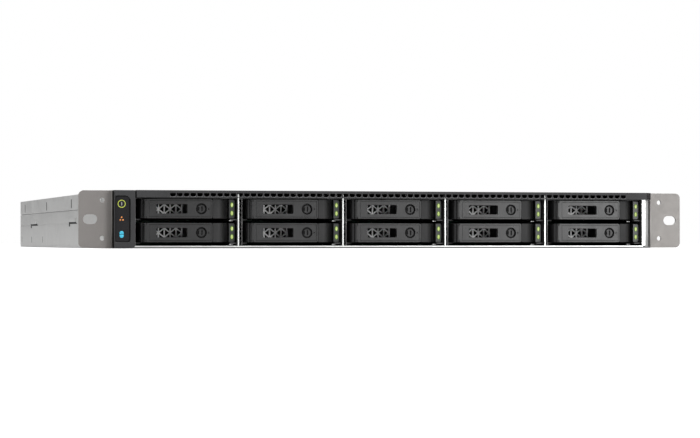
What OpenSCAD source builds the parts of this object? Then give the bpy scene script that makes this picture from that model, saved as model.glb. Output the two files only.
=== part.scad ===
// Rack-mounted network storage enclosure, one rack unit high, with ten
// hot-swap drive trays, two power supplies and six cooling fans.
// X runs to the right, Y to the rear and Z up. The origin lies midway
// between the two rack slots, on the front face of the mounting ears.
// Inside the modules Z counts up from the underside of the chassis.

/* [Rack ears] */
// Width over both ears
ear_span = 482.6; // [480:0.2:484]
// Height of an ear
ear_h = 43.2; // [42:0.1:43.4]
// Thickness of the ear plate
ear_t = 2; // [1.5:0.1:2]
// Distance between the centres of the two rack slots
slot_span = 465.1; // [464:0.1:466]
// Length of a rack slot
slot_l = 10.6; // [9:0.1:12]
// Width of a rack slot
slot_w = 7.1; // [6.5:0.1:7.5]
// Distance between the handle holes, across
hole_span_x = 447; // [446:0.1:448]
// Distance between the handle holes, upwards
hole_span_z = 28.5; // [26:0.1:30]
// Radius of a handle hole
hole_r = 1.8; // [1.5:0.1:2]

/* [Chassis] */
// Width over the side walls
ch_w = 434; // [432:0.5:436]
// Overall height
ch_h = 43.6; // [43.5:0.1:44]
// Depth from the ears to the rear wall
ch_d = 554; // [550:1:620]
// Thickness of the steel sheet
sheet = 1.2; // [1:0.1:1.2]
// Height of the seam between the side wall and the cover's flange
seam_z = 30.6; // [29:0.1:32]
// Place along Y where the lift-off cover starts
cover_y = 46; // [46:1:60]

/* [Drive bays] */
// Left line of the drive cage
cage_x = -201.6; // [-202:0.1:-201]
// Distance from one divider to the next
bay_pitch = 82.2; // [82:0.1:82.4]
// Depth of the drive cage
cage_d = 129; // [128:1:131]
// Width of a tray's front
tray_w = 73.6; // [73.5:0.1:73.9]
// Height of a tray's front
tray_h = 14.4; // [14.2:0.1:14.6]
// Underside of the lower row of trays
tray_z = 4.6; // [4.5:0.1:4.7]
// Distance from the lower row to the upper row
row_pitch = 18; // [17.9:0.1:18.1]
// How far the tray levers stand in front of the ears
face = 2; // [1.5:0.1:2.4]

/* [Bezel] */
// How far the bezel stands in front of the ears
bezel = 8; // [7.5:0.1:9]
// Number of air slots in the top bar
vents = 71; // [60:1:71]
// Distance between air slots
vent_pitch = 5.16; // [5:0.01:5.16]

/* [Cooling and power] */
// Number of fans
fans = 6; // [6:1:6]
// Side of a square fan frame
fan_size = 40; // [38:1:40]
// Width of a power supply
psu_w = 73; // [70:1:73]
// Height of a power supply
psu_h = 39.4; // [38:0.1:39.6]
// Length of a power supply
psu_l = 185; // [170:1:190]

/* [Hidden] */
$fn = 48;
eps = 0.01;
gap = 0.04;                 // hairline between plates folded or riveted together
cols = 5;
bays = 2 * cols;
half_w = ch_w / 2;
inner = half_w - sheet - gap; // half the width between the side walls
ear_in = 215.7;             // inner edge of an ear
ear_z = (ch_h - ear_h) / 2; // underside of an ear
floor_t = 1;                // chassis floor
cage_t = 1;                 // cage dividers
cage_floor = 0.8;
cage_top = 38.4;
cage_roof_y = 6;
cage_end = cage_x + cols * bay_pitch;
tray_dx = 6.7;              // from a divider's line to the tray's left side
tray_y = 5;                 // from the face of the ears back to the trays' own zero
front = -face - tray_y;     // front of a lever, in the tray's own Y
ledge_gap = 0.4;            // between a tray and the ledge under it
tray_back = 118;
recess_y = 5;               // bottom of the finger recess
front_back = 14.5;          // rear face of a tray's moulded front
lever_x0 = 1.7;
lever_x1 = 55.1;
lever_t = 3;
pocket_y = -3.1;            // bottom of the pocket that the lever lies in
pivot = [3.5, -5.2];        // lever pivot, in the tray's own X and Y
barrel_r = 1.8;
pin_r = 0.8;
run_gap = 0.05;             // radial clearance of a running fit
win = [12.2, 35.8, 3.6, 10.7];
button = [46.5, 7.2];       // release button, in the tray's own X and Z
button_r = 3.55;
button_y = front + 1.3;     // front of the release button
recess_x = 64.6;            // finger recess beside the status lights
led_x = 69;
led_y = -0.5;
drive = [69.85, 100.2, 9.5];
drive_at = [(tray_w - 69.85) / 2, 16, 1.2];
ctl_x0 = -ear_in;
ctl_x1 = -199.9;
power_at = [-210, 33.25];
power_r = 2.35;
vent_x = -173.2;
bar_x0 = -198.8;
bar_x1 = 209.7;
bar_z = 38.2;
fan_y = 165;
fan_t = 28;
fan_z = 21.2;
fan_r = 19;
fan_x0 = -170;
fan_step = 68;
psu_x = [62.4, 137.4];
psu_z = 1.8;
psu_y = ch_d + 2 - psu_l;
psu_back = ch_d + 2;
latch_at = [68, psu_back + 3.2];
board_z = 8;
board_t = 1.6;
port_y = ch_d - 0.2;
port_z = board_z + board_t + 0.2;
// Ports from left to right: left side, width, height, mouth and depth
ports = concat([for (x = [-188, -168, -148]) [x, 16, 13.5, [12.4, 9.5], 21]],
               [for (x = [-124, -106]) [x, 15, 10.4, [13.6, 9], 47]],
               [for (x = [-86, -69, -52]) [x, 13.1, 5.7, [12.3, 4.9], 14]]);
io_x = [-192, -34];
io_z = [port_z - 0.1, port_z + 13.6];
slot_cover_x = -30;
slot_cover_w = 80;
slot_cover_z = [5.5, 23.5];
screw_y = [14, 27, 40];
screw_z = [8, 21.8, 35.6];
shank_r = 1.6;

steel = "#a9a9a7";
ear_grey = "#93908c";
bright = "#dcdcda";
black = "#3f3f41";
dark = "#2a292b";

// Trays count from left to right, the upper row first.
function bay_col(n) = (n - 1) % cols;
function bay_row(n) = n <= cols ? 1 : 0;
function divider(i) = cage_x + i * bay_pitch;
function bay_at(n) = [divider(bay_col(n)) + tray_dx, tray_y, tray_z + row_pitch * bay_row(n)];

module place() translate([0, 0, -ch_h / 2]) children();
module block(a, b) translate(a) cube(b - a);
// A flat shape drawn in X and Z, from y0 back to y1
module across_y(y0, y1) translate([0, y1, 0]) rotate([90, 0, 0]) linear_extrude(y1 - y0) children();
// A flat shape drawn in Y and Z, from x0 right to x1
module across_x(x0, x1) translate([x0, 0, 0]) rotate([90, 0, 90]) linear_extrude(x1 - x0) children();
module slot_2d(l, w) {
    square([l - w, w], center = true);
    for (s = [-1, 1]) translate([s * (l - w) / 2, 0]) circle(d = w);
}
module round_2d(w, h, r) {
    square([w - 2 * r, h], center = true);
    square([w, h - 2 * r], center = true);
    for (x = [-1, 1], y = [-1, 1]) translate([x * (w / 2 - r), y * (h / 2 - r)]) circle(r);
}
module mirrored() {
    children();
    mirror([1, 0, 0]) children();
}
// Cylinders along X and along Y
module rod_x(at, r, l) translate(at) rotate([0, 90, 0]) cylinder(r = r, h = l);
module rod_y(at, r, l) translate(at) rotate([-90, 0, 0]) cylinder(r = r, h = l);

module right_ear_shape() difference() {
    union() {
        across_y(0, ear_t) translate([ear_in, ear_z]) {
            w = ear_span / 2 - ear_in;
            r = 4;
            square([w - r, ear_h]);
            translate([0, r]) square([w, ear_h - 2 * r]);
            for (z = [r, ear_h - r]) translate([w - r, z]) circle(r);
        }
        block([half_w, ear_t, 2], [half_w + 1.6, 46, ch_h - 2]);
    }
    across_y(-1, ear_t + 1) translate([slot_span / 2, ch_h / 2]) slot_2d(slot_l, slot_w);
    for (s = [-1, 1])
        rod_y([hole_span_x / 2, -1, ch_h / 2 + s * hole_span_z / 2], hole_r, ear_t + 2);
    for (k = [0 : 2]) rod_x([half_w - 1, screw_y[k], screw_z[k]], shank_r + 0.1, 4);
}
module right_ear() color("#a3a09d") right_ear_shape();
module left_ear() color(ear_grey) mirror([1, 0, 0]) right_ear_shape();

// The rear wall is made of flat plates, so that every port stands in a window
module rear_plate(x0, x1, z0, z1) block([x0, ch_d - sheet, z0], [x1, ch_d, z1]);
module rear_wall() {
    top = ch_h - sheet - 0.4;
    play = 0.1; // around each port
    starts = concat([io_x[0] + gap], [for (p = ports) p[0] + p[1] + play]);
    ends = concat([for (p = ports) p[0] - play], [io_x[1] - gap]);
    rear_plate(-inner, io_x[0], 0, top);
    rear_plate(io_x[0] + gap, io_x[1] - gap, 0, io_z[0] - gap);
    for (i = [0 : len(ports)]) rear_plate(starts[i], ends[i], io_z[0], io_z[1]);
    for (p = ports) if (p[2] < 13)
        rear_plate(p[0] - play + gap, p[0] + p[1] + play - gap, port_z + p[2] + play, io_z[1]);
    difference() {
        rear_plate(io_x[0] + gap, io_x[1] - gap, io_z[1] + gap, top);
        across_y(ch_d - 2, ch_d + 1)
            for (k = [0 : 23]) translate([-190 + k * 6.2, 33]) rotate(90) slot_2d(9, 2.9);
    }
    difference() {
        rear_plate(io_x[1], psu_x[0] - 1.5 - gap, 0, top);
        for (z = slot_cover_z) {
            across_y(ch_d - 2, ch_d + 1)
                translate([slot_cover_x + 3, z + 2]) square([slot_cover_w - 14, 11]);
            rod_y([slot_cover_x + slot_cover_w - 5, ch_d - 2, z + 7.5], shank_r + 0.1, 4);
        }
    }
    rear_plate(psu_x[1] + psu_w + 0.5, inner, 0, top);
    for (x = psu_x) block([x - 1.5, psu_y, floor_t + gap], [x - 0.5, ch_d, top - 1]);
}
// Rail hook: an L-shaped slot with a pressed band above it
module rail_slot_2d(y0, y1) {
    translate([y0, 19.6]) square([y1 - y0, 1.6]);
    translate([y1 - 7, 17.6]) square([7, 3.6]);
}
// Side wall with its front return and the inner flange that guides the cover
module side_wall() {
    difference() {
        union() {
            block([half_w - sheet, ear_t, 0], [half_w, ch_d, seam_z]);
            block([half_w - sheet, ear_t, seam_z - 1], [half_w, cover_y - 0.6, ch_h]);
            for (y = [180, 428]) block([half_w - 1, y, 21.4], [half_w + 0.8, y + 40, 24.4]);
        }
        across_x(half_w - 4, half_w + 1) {
            rail_slot_2d(179, 221);
            rail_slot_2d(427, 474);
            for (y = [389, 468, 542]) translate([y, 4]) square([0.9, 5.5]);
        }
        block([half_w - 0.4, 60, 19.6], [half_w + 1, ch_d - 9, 20.6]);
        for (k = [0 : 2]) rod_x([half_w - 4, screw_y[k], screw_z[k]], shank_r + 0.1, 5);
    }
    block([211.9, ear_t, floor_t + gap], [inner, ear_t + sheet, ch_h - sheet - gap]);
    block([half_w - 2.8, cover_y, seam_z - 5], [half_w - 1.6, ch_d - 2, ch_h - 1.8]);
    block([half_w - 2.8, cover_y, seam_z - 5], [inner, ch_d - 2, seam_z - 1]);
}
module chassis_base() color(steel) {
    block([-inner, ear_t, 0], [inner, ch_d - sheet - gap, floor_t]);
    block([-ear_in + 0.2, 0, 0], [ear_in - 0.2, ear_t - gap, floor_t]);
    block([-inner, ear_t, ch_h - sheet], [inner, cover_y - 0.6, ch_h]);
    mirrored() side_wall();
    rear_wall();
}

// Narrow perforated strip beside each divider
module strip_2d(h) difference() {
    translate([cage_t / 2 + gap, 0]) square([3.8, h]);
    for (k = [0 : 9]) translate([1.8, 1.2 + k * 3.55]) square([1.8, 1.8]);
}
module bay_cage() color(bright) {
    wall = cage_t / 2;
    low = floor_t + cage_floor;
    high = cage_top - cage_floor;
    block([cage_x - wall, 0, floor_t], [cage_end + wall, cage_d, low]);
    block([cage_x - wall, cage_roof_y, high], [cage_end + wall, cage_d, cage_top]);
    for (i = [0 : cols]) {
        block([divider(i) - wall, 0, low + gap], [divider(i) + wall, cage_d, high - gap]);
        block([divider(i) - wall, 0, low + gap], [divider(i) + wall, 5, 41]);
    }
    for (i = [0 : cols - 1]) {
        translate([divider(i), 0, low + gap]) across_y(7, 7.8) strip_2d(high - low - 2 * gap);
        for (row = [0, 1]) {
            z = tray_z + row * row_pitch - ledge_gap;
            block([divider(i) + wall + gap, 8, z - cage_t], [divider(i) + 8.2, 125, z]);
            block([divider(i + 1) - 6, 3, z - cage_t], [divider(i + 1) - wall - gap, 125, z]);
        }
    }
    block([cage_end + wall + gap, 0, low + gap], [211.7, 1, cage_top]);
}

// Top bar of the bezel, a channel open to the rear
module bar_2d(inset) {
    x0 = bar_x0 + inset;
    x1 = ear_in - 0.2 - inset;
    y0 = -bezel + inset;
    y1 = inset > 0 ? 1 : 0;
    polygon([[x0, y0], [bar_x1 - inset / 2, y0], [x1, -2 + inset / 2], [x1, y1], [x0, y1]]);
}
module vent_2d() {
    r = 1.1;
    w = 4.15;
    translate([0, r]) square([w, 3 - r]);
    translate([r, 0]) square([w - 2 * r, r + eps]);
    for (x = [r, w - r]) translate([x, r]) circle(r);
}
module vent_bar() color(black) difference() {
    translate([0, 0, bar_z]) linear_extrude(ch_h - bar_z) bar_2d(0);
    translate([0, 0, bar_z - 1]) linear_extrude(ch_h - bar_z - 0.2) bar_2d(1);
    across_y(-bezel - 1, -bezel + 2)
        for (k = [0 : vents - 1]) translate([vent_x + k * vent_pitch - 0.2, 38.6]) vent_2d();
}

module control_recess_2d() {
    z0 = 4.4;
    z1 = 39.6;
    x0 = ctl_x0 + 0.6;
    x1 = -203.3;
    r1 = 4.4;
    r0 = 1.9;
    translate([x0, z0]) square([x1 - r1 - x0, z1 - z0]);
    translate([x0, z0 + r0]) square([x1 - x0, z1 - z0 - r0 - r1]);
    translate([x0, z0]) square([x1 - r0 - x0, r0 + eps]);
    translate([x1 - r1, z1 - r1]) circle(r1);
    translate([x1 - r0, z0 + r0]) circle(r0);
}
module control_panel() color(black) difference() {
    across_y(-bezel, 0) polygon([[ctl_x0, ear_z], [ctl_x1 - 1.5, ear_z], [ctl_x1, ear_z + 1.5],
                                 [ctl_x1, ch_h - 0.1], [ctl_x0, ch_h - 0.1]]);
    across_y(-bezel - 1, -bezel + 1.2) control_recess_2d();
    block([ctl_x0 + 1.2, -bezel + 3.2, 1.6], [ctl_x1 - 1.2, 1, ch_h - 1.5]);
    rod_y([power_at.x, -bezel, power_at.y], power_r + 0.15, 5);
}
// Lamp with a flat foot and a round top
module dome_2d() {
    r = 1.55;
    foot = 0.85;
    translate([-r, 0]) square([2 * r, foot + eps]);
    translate([0, foot]) intersection() {
        circle(r);
        translate([-r, 0]) square(2 * r);
    }
}
module status_lights() {
    y0 = -bezel + 0.9;
    y1 = -bezel + 1.2;
    color("#c9d13c") across_y(y0, y1) translate(power_at) difference() {
        circle(2.95);
        circle(power_r + 0.15);
    }
    color("#d98430") across_y(y0, y1) for (p = [[-210, 23.2], [-211.05, 21.2], [-208.95, 21.2]])
        translate(p) circle(0.6);
    color("#34b6d6") across_y(y0, y1) translate([-210, 10.37]) for (side = [0, 1])
        mirror([0, side]) translate([0, 0.17]) dome_2d();
}
module power_button() color(dark) translate([power_at.x, 0, power_at.y]) {
    rod_y([0, -bezel + 1, 0], power_r, 2.6);
    rod_y([0, -4.5, 0], 3.2, 0.8);
}
module front_panel_board() color("#1f5a3a") {
    block([-214, -2.4, 3], [-202, -0.8, 41]);
    block([power_at.x - 1.5, -2.7, power_at.y - 1.5], [power_at.x + 1.5, -2.3, power_at.y + 1.5]);
}

// Plan of the moulding that holds the lever, with a rounded shoulder
module housing_2d() {
    corner = 1.4;
    lip = lever_x0 - 0.3;
    lever_end = lever_x1 + 0.3;
    r = 6;
    translate([0, pocket_y]) square([lever_end, recess_y - pocket_y]);
    translate([0, front + corner]) square([lip, recess_y - front - corner]);
    intersection() {
        translate([corner, front + corner]) circle(corner);
        translate([0, front]) square([lip, corner + eps]);
    }
    translate([lever_end - eps, front]) square([recess_x - r - lever_end + eps, recess_y - front]);
    translate([recess_x - r - eps, front + r]) square([r + eps, recess_y - front - r]);
    intersection() {
        translate([recess_x - r, front + r]) circle(r);
        translate([recess_x - r - eps, front]) square([r + eps, r + eps]);
    }
}
// Plan of the post that carries the two status lights
module post_2d() {
    r = 0.8;
    translate([led_x, led_y + r]) square([tray_w - led_x, recess_y - led_y - r]);
    translate([led_x, led_y]) square([tray_w - led_x - r, r + eps]);
    translate([tray_w - r, led_y + r]) circle(r);
}
// Upright and slanted bars that cross in every other upright
module grille_2d() {
    step = 4.5;
    h = win[3] - win[2];
    bar = 0.9;
    intersection() {
        translate([win[0], win[2]]) square([win[1] - win[0], h]);
        for (k = [0 : 6]) translate([win[1] - 0.5 - k * step, win[2] + h / 2]) {
            square([bar, h], center = true);
            if (k % 2 == 0) for (a = [-1, 1], b = [-1, 1])
                rotate(b * atan2(a * h / 2, step)) translate([b > 0 ? 0 : -10, -bar / 2])
                    square([10, bar]);
        }
    }
}
module tray() {
    color("#454547") {
        difference() {
            union() {
                linear_extrude(tray_h) housing_2d();
                for (z = [0, tray_h - 1.4]) translate([0, 0, z]) {
                    translate(pivot) cylinder(r = barrel_r, h = 1.4);
                    block([pivot.x - barrel_r, pivot.y, 0], [pivot.x + 1, pocket_y + eps, 1.4]);
                }
            }
            translate([pivot.x, pivot.y, -1]) cylinder(r = pin_r + run_gap, h = tray_h + 2);
            block([win[0], pocket_y - 1, win[2]], [win[1], recess_y + 1, win[3]]);
            block([41.9, pocket_y - 1, 2.6], [54.4, 4, 11.8]);
        }
        difference() {
            linear_extrude(tray_h) post_2d();
            across_y(led_y - 1, led_y + 0.5) for (z = [4, 10.3])
                translate([(led_x + tray_w) / 2, z]) rotate(90) slot_2d(3.5, 1.5);
        }
        difference() {
            block([0, recess_y + gap, 0], [tray_w, front_back, tray_h]);
            block([win[0], recess_y, win[2]], [win[1], front_back - 1.5, win[3]]);
            across_y(front_back - 2, front_back + 1) difference() {
                translate([win[0], win[2]]) square([win[1] - win[0], win[3] - win[2]]);
                grille_2d();
            }
        }
        difference() {
            block([0, front_back + gap, 0], [tray_w, tray_back, 1]);
            block([12, 30, -1], [tray_w - 12, 104, 2]);
        }
        for (x = [0, tray_w - 1.4]) difference() {
            block([x, front_back + gap, 1 + gap], [x + 1.4, tray_back, 12.4]);
            for (y = [38, 70]) block([x - 1, y, 4], [x + 3, y + 22, 9]);
        }
    }
    color("#9a9b9d") block(drive_at, drive_at + drive);
}
module lever() color("#4b4b4d") difference() {
    union() {
        difference() {
            across_y(front, front + lever_t) {
                r = 1.4;
                translate([pivot.x, 0]) square([lever_x1 - r - pivot.x, tray_h]);
                translate([pivot.x, r]) square([lever_x1 - pivot.x, tray_h - 2 * r]);
                for (z = [r, tray_h - r]) translate([lever_x1 - r, z]) circle(r);
            }
            for (z = [-1, tray_h - 1.6])
                translate([pivot.x, pivot.y, z]) cylinder(r = barrel_r + 0.3, h = 2.6);
        }
        translate([pivot.x, pivot.y, 1.6]) cylinder(r = barrel_r, h = tray_h - 3.2);
        translate([pivot.x, pivot.y, 0.2]) cylinder(r = pin_r, h = tray_h - 0.4);
        block([51.4, front + lever_t - eps, 5.4], [53.2, 1, 9]);
    }
    across_y(front - 1, front + lever_t + 1) {
        translate([(win[0] + win[1]) / 2, (win[2] + win[3]) / 2])
            round_2d(win[1] - win[0], win[3] - win[2], 0.9);
        translate(button) circle(button_r + 0.2);
    }
    rod_y([button.x, front - 1, button.y], 4.2, 2.2);
    across_y(front - 1, front + 0.3) {
        translate([51.8, button.y - 1]) polygon([[0, 0], [1.2, 1], [0, 2]]);
        translate([win[0] - 3.9, win[2]]) square([4.8, win[3] - win[2]]);
        difference() {
            translate([6.5, 1]) square([lever_x1 - 7.5, tray_h - 2]);
            translate([6.8, 1.3]) square([lever_x1 - 8.1, tray_h - 2.6]);
        }
    }
}
module release_button() color("#39393b") translate([button.x, 0, button.y]) difference() {
    union() {
        rod_y([0, button_y, 0], button_r, 2.1);
        rod_y([0, front + 3.3, 0], 4.4, 0.5);
        rod_y([0, front + 3.7, 0], 2, 2.4);
    }
    across_y(button_y - 1, button_y + 0.6) {
        translate([0.7, 0]) rotate(90) slot_2d(4.2, 1.2);
        translate([-1.4, 0]) intersection() {
            circle(1.5);
            translate([-2, -2]) square([2, 4]);
        }
    }
}

module backplane() color("#235c3b") {
    y = cage_d - tray_y;
    difference() {
        block([cage_x + 1, cage_d + 0.6, 2.2], [cage_end - 1, cage_d + 2.6, 37.4]);
        for (n = [1 : bays]) translate(bay_at(n)) {
            block([20, y, 10], [54, y + 4, 15]);
            block([4, y, 1], [13, y + 4, 11]);
        }
    }
    for (n = [1 : bays]) translate(bay_at(n)) block([16, tray_back - 1, 3.5], [58, y + 0.7, 8]);
}

module fan_places() for (k = [0 : fans - 1])
    translate([fan_x0 + k * fan_step, fan_y, fan_z]) rotate([-90, 0, 0]) children();
module fan_frames() color(dark) fan_places() {
    difference() {
        translate([-fan_size / 2, -fan_size / 2, 0]) cube([fan_size, fan_size, fan_t]);
        translate([0, 0, -1]) cylinder(r = fan_r, h = fan_t + 2);
    }
    translate([0, 0, fan_t - 2.5]) cylinder(r = 8.4, h = 2.5);
    for (a = [30 : 120 : 270]) rotate(a) translate([7, -1, fan_t - 2.5]) cube([12.6, 2, 2.5]);
}
module fan_rotor() {
    hub_l = 21;
    color("#333436") rotate([-90, 0, 0]) translate([0, 0, 3]) {
        cylinder(r = 8.4, h = hub_l);
        intersection() {
            cylinder(r = 18.2, h = hub_l);
            for (a = [0 : 360 / 7 : 359]) rotate(a) translate([7, 0, hub_l / 2])
                rotate([38, 0, 0]) translate([0, -0.6, -12]) cube([13, 1.2, 24]);
        }
    }
}

module motherboard() {
    color("#1f5a3a") {
        block([-208, 208, board_z], [54, ch_d - 4, board_z + board_t]);
        block([62, 335, board_z], [210, 366, board_z + board_t]);
    }
    top = board_z + board_t;
    for (x = [-204, -80, 46], y = [214, 380, 540]) color(bright)
        block([x, y, floor_t], [x + 5, y + 5, board_z]);
    for (x = [66, 200], y = [340, 358]) color(bright)
        block([x, y, floor_t], [x + 5, y + 5, board_z]);
    color(dark) {
        for (k = [0 : 4]) block([-196 + k * 11, 300, top], [-188 + k * 11, 308, top + 6]);
        block([-60, 450, top], [-32, 478, top + 3]);
        block([6, 452, top], [30, 476, top + 3]);
        for (x = psu_x) block([x + 14, 346, top], [x + 60, 364, top + 9]);
        for (k = [0 : 3]) block([-30 + k * 9, 228, top], [-24 + k * 9, 240, top + 10]);
    }
}
module cpu_heatsink() color("#b9bcc0") translate([-165, 320, board_z + board_t]) {
    block([8, 8, 0], [62, 62, 3]);
    block([0, 0, 3], [70, 70, 6]);
    for (k = [0 : 20]) translate([k * 3.45, 0, 6 - eps]) cube([1, 70, 22]);
}
module memory_modules() for (k = [0 : 3]) translate([-74 + k * 12, 300, board_z + board_t]) {
    color(dark) difference() {
        block([0, 0, 0], [6, 142, 5]);
        block([2.2, 3, 1], [3.8, 139, 6]);
    }
    color("#2a6a45") block([2.3, 4, 1], [3.7, 138, 30]);
    for (m = [0 : 7]) color(dark) block([0.9, 9 + m * 16, 10], [2.3, 20 + m * 16, 24]);
}

module port(x, w, h, mouth, deep) translate([x, port_y - deep, port_z]) difference() {
    cube([w, deep, h]);
    translate([(w - mouth.x) / 2, 1.2, (h - mouth.y) / 2]) cube([mouth.x, deep, mouth.y]);
}
module io_ports() color("#c4c5c6") {
    for (p = ports) port(p[0], p[1], p[2], p[3], p[4]);
}
module expansion_covers() color(bright) for (z = slot_cover_z) difference() {
    translate([slot_cover_x, ch_d, z]) cube([slot_cover_w, 1, 15]);
    across_y(ch_d - 1, ch_d + 2) for (k = [0 : 8])
        translate([slot_cover_x + 10 + k * 6.6, z + 7.5]) rotate(90) slot_2d(9, 2.6);
    rod_y([slot_cover_x + slot_cover_w - 5, ch_d - 1, z + 7.5], shank_r + 0.1, 3);
}

module psu_grille_2d() difference() {
    circle(17);
    for (r = [4.5, 8.5, 12.5]) difference() {
        circle(r + 0.7);
        circle(r - 0.7);
    }
    for (a = [45, 135]) rotate(a) square([36, 1.6], center = true);
}
module psu() {
    inlet = [7, 34, 9.5, 29.5];
    z0 = psu_z + 1 + gap;
    z1 = psu_z + psu_h - 1 - gap;
    x1 = psu_w - 1 - gap;
    y1 = psu_back - 1;
    color("#b2b3b3") {
        for (z = [psu_z, psu_z + psu_h - 1]) block([0, psu_y, z], [psu_w, psu_back, z + 1]);
        for (x = [0, psu_w - 1]) block([x, psu_y, z0], [x + 1, psu_back, z1]);
        difference() {
            block([1 + gap, psu_y, z0], [x1, psu_y + 1, z1]);
            for (k = [0 : 11]) block([8 + k * 5, psu_y - 1, 8], [11 + k * 5, psu_y + 2, 34]);
        }
        block([1 + gap, y1, z0], [inlet[0], psu_back, z1]);
        block([inlet[0] + gap, y1, z0], [inlet[1] - gap, psu_back, inlet[2]]);
        block([inlet[0] + gap, y1, inlet[3]], [inlet[1] - gap, psu_back, z1]);
        difference() {
            block([inlet[1], y1, z0], [x1, psu_back, z1]);
            across_y(y1 - 1, psu_back + 1) translate([54, psu_z + psu_h / 2]) psu_grille_2d();
        }
    }
    color(dark) difference() {
        block([inlet[0] + 0.3, psu_back - 24, inlet[2] + 0.3],
              [inlet[1] - 0.3, psu_back + 0.6, inlet[3] - 0.3]);
        block([inlet[0] + 1.6, psu_back - 20, inlet[2] + 1.8],
              [inlet[1] - 1.6, psu_back + 2, inlet[3] - 1.8]);
    }
    color("#b2b3b3") for (z = [12.5, 27.5]) difference() {
        union() {
            translate([latch_at.x, latch_at.y, z]) cylinder(r = 2, h = 2);
            block([latch_at.x - 2, psu_back + gap, z], [latch_at.x + 2, latch_at.y, z + 2]);
        }
        translate([latch_at.x, latch_at.y, z - 1]) cylinder(r = 1 + run_gap, h = 4);
    }
}
module psu_latch() color("#a63b32") translate(latch_at) {
    translate([0, 0, 14.8]) cylinder(r = 2, h = 12.4);
    translate([0, 0, 12.7]) cylinder(r = 1, h = 16.6);
    block([-0.4, 0, 14.8], [1.6, 15, 27.2]);
    block([-0.4, 12, 14.8], [4.2, 15, 27.2]);
}
module psu_handle() color(dark) {
    x = 36;
    for (z = [4.5, 34.5]) block([x, psu_back, z], [x + 4, psu_back + 22, z + 3.6]);
    block([x, psu_back + 18, 4.5], [x + 4, psu_back + 22, 38.1]);
}

module top_cover() color("#b4b4b2") {
    block([-inner, cover_y, ch_h - sheet], [inner, ch_d, ch_h]);
    mirrored() difference() {
        block([half_w - sheet, cover_y, seam_z + 0.4], [half_w, ch_d, ch_h]);
        for (k = [0 : 2]) block([half_w - 2, 206 + k * 155.5, 33], [half_w + 1, 207.2 + k * 155.5, 40]);
    }
}
module screw() {
    cylinder(r = shank_r, h = 4.5);
    translate([0, 0, 4]) difference() {
        cylinder(r1 = 2.9, r2 = 2.3, h = 1.4);
        translate([0, 0, 0.6]) cylinder(r = 1.2, h = 2, $fn = 6);
    }
}
module case_screws() color("#7d7d7c") {
    mirrored() for (k = [0 : 2])
        translate([half_w - 2.4, screw_y[k], screw_z[k]]) rotate([0, 90, 0]) screw();
    for (z = slot_cover_z)
        translate([slot_cover_x + slot_cover_w - 5, ch_d - 3, z + 7.5]) rotate([-90, 0, 0]) screw();
}

place() chassis_base();
place() left_ear();
place() right_ear();
place() bay_cage();
place() vent_bar();
place() control_panel();
place() status_lights();
place() power_button();
place() front_panel_board();
for (n = [1 : bays]) {
    place() translate(bay_at(n)) tray();
    place() translate(bay_at(n)) lever();
    place() translate(bay_at(n)) release_button();
}
place() backplane();
place() fan_frames();
for (n = [1 : fans])
    place() translate([fan_x0 + (n - 1) * fan_step, fan_y, fan_z]) fan_rotor();
place() motherboard();
place() cpu_heatsink();
place() memory_modules();
place() io_ports();
place() expansion_covers();
for (n = [1, 2]) {
    place() translate([psu_x[n - 1], 0, 0]) psu();
    place() translate([psu_x[n - 1], 0, 0]) psu_latch();
    place() translate([psu_x[n - 1], 0, 0]) psu_handle();
}
place() top_cover();
place() case_screws();
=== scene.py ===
"""Looks of a one-unit rack storage enclosure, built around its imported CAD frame."""
import math
import random

import bpy
import bmesh
from mathutils import Matrix, Vector


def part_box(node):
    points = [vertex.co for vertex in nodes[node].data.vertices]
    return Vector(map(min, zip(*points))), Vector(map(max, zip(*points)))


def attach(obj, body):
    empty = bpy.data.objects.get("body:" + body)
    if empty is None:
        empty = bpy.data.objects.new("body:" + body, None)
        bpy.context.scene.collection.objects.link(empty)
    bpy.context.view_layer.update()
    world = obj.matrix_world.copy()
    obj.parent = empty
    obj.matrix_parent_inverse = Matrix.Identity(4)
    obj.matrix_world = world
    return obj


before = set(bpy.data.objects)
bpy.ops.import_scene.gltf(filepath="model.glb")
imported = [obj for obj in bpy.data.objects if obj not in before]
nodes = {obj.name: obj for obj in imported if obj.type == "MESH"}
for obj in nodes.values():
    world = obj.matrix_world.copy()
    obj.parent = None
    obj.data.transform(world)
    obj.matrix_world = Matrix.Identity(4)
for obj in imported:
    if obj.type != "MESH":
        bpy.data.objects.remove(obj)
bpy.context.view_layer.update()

MM = 0.001
TRAYS = range(1, 11)
COLUMNS = 5
FANS = range(1, 7)
SUPPLIES = (1, 2)

# Places in millimetres, along the frame's Y
WALL_SLOTS = ((179, 221), (427, 474))    # stepped slots of a side wall, from and to
WALL_SLITS = (389, 468, 542)             # low slits of a side wall
COVER_SLOTS = (206, 361.5, 517)          # slots of the cover's flanges

# Places in millimetres, X and Z from a tray's low corner
BUTTON = (46.5, 7.2)                     # middle of the release button
PLATE = (69.1, 0.3)                      # low corner of the lamp plate
PLATE_LAMPS = ((2.2, 3.7), (2.2, 10.0))  # middles of the two lamps, from the plate's corner


def low(node):
    """Lowest corner of a CAD node, in millimetres."""
    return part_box(node)[0] / MM


def high(node):
    """Highest corner of a CAD node, in millimetres."""
    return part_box(node)[1] / MM


# ---------------------------------------------------------------- materials

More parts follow.
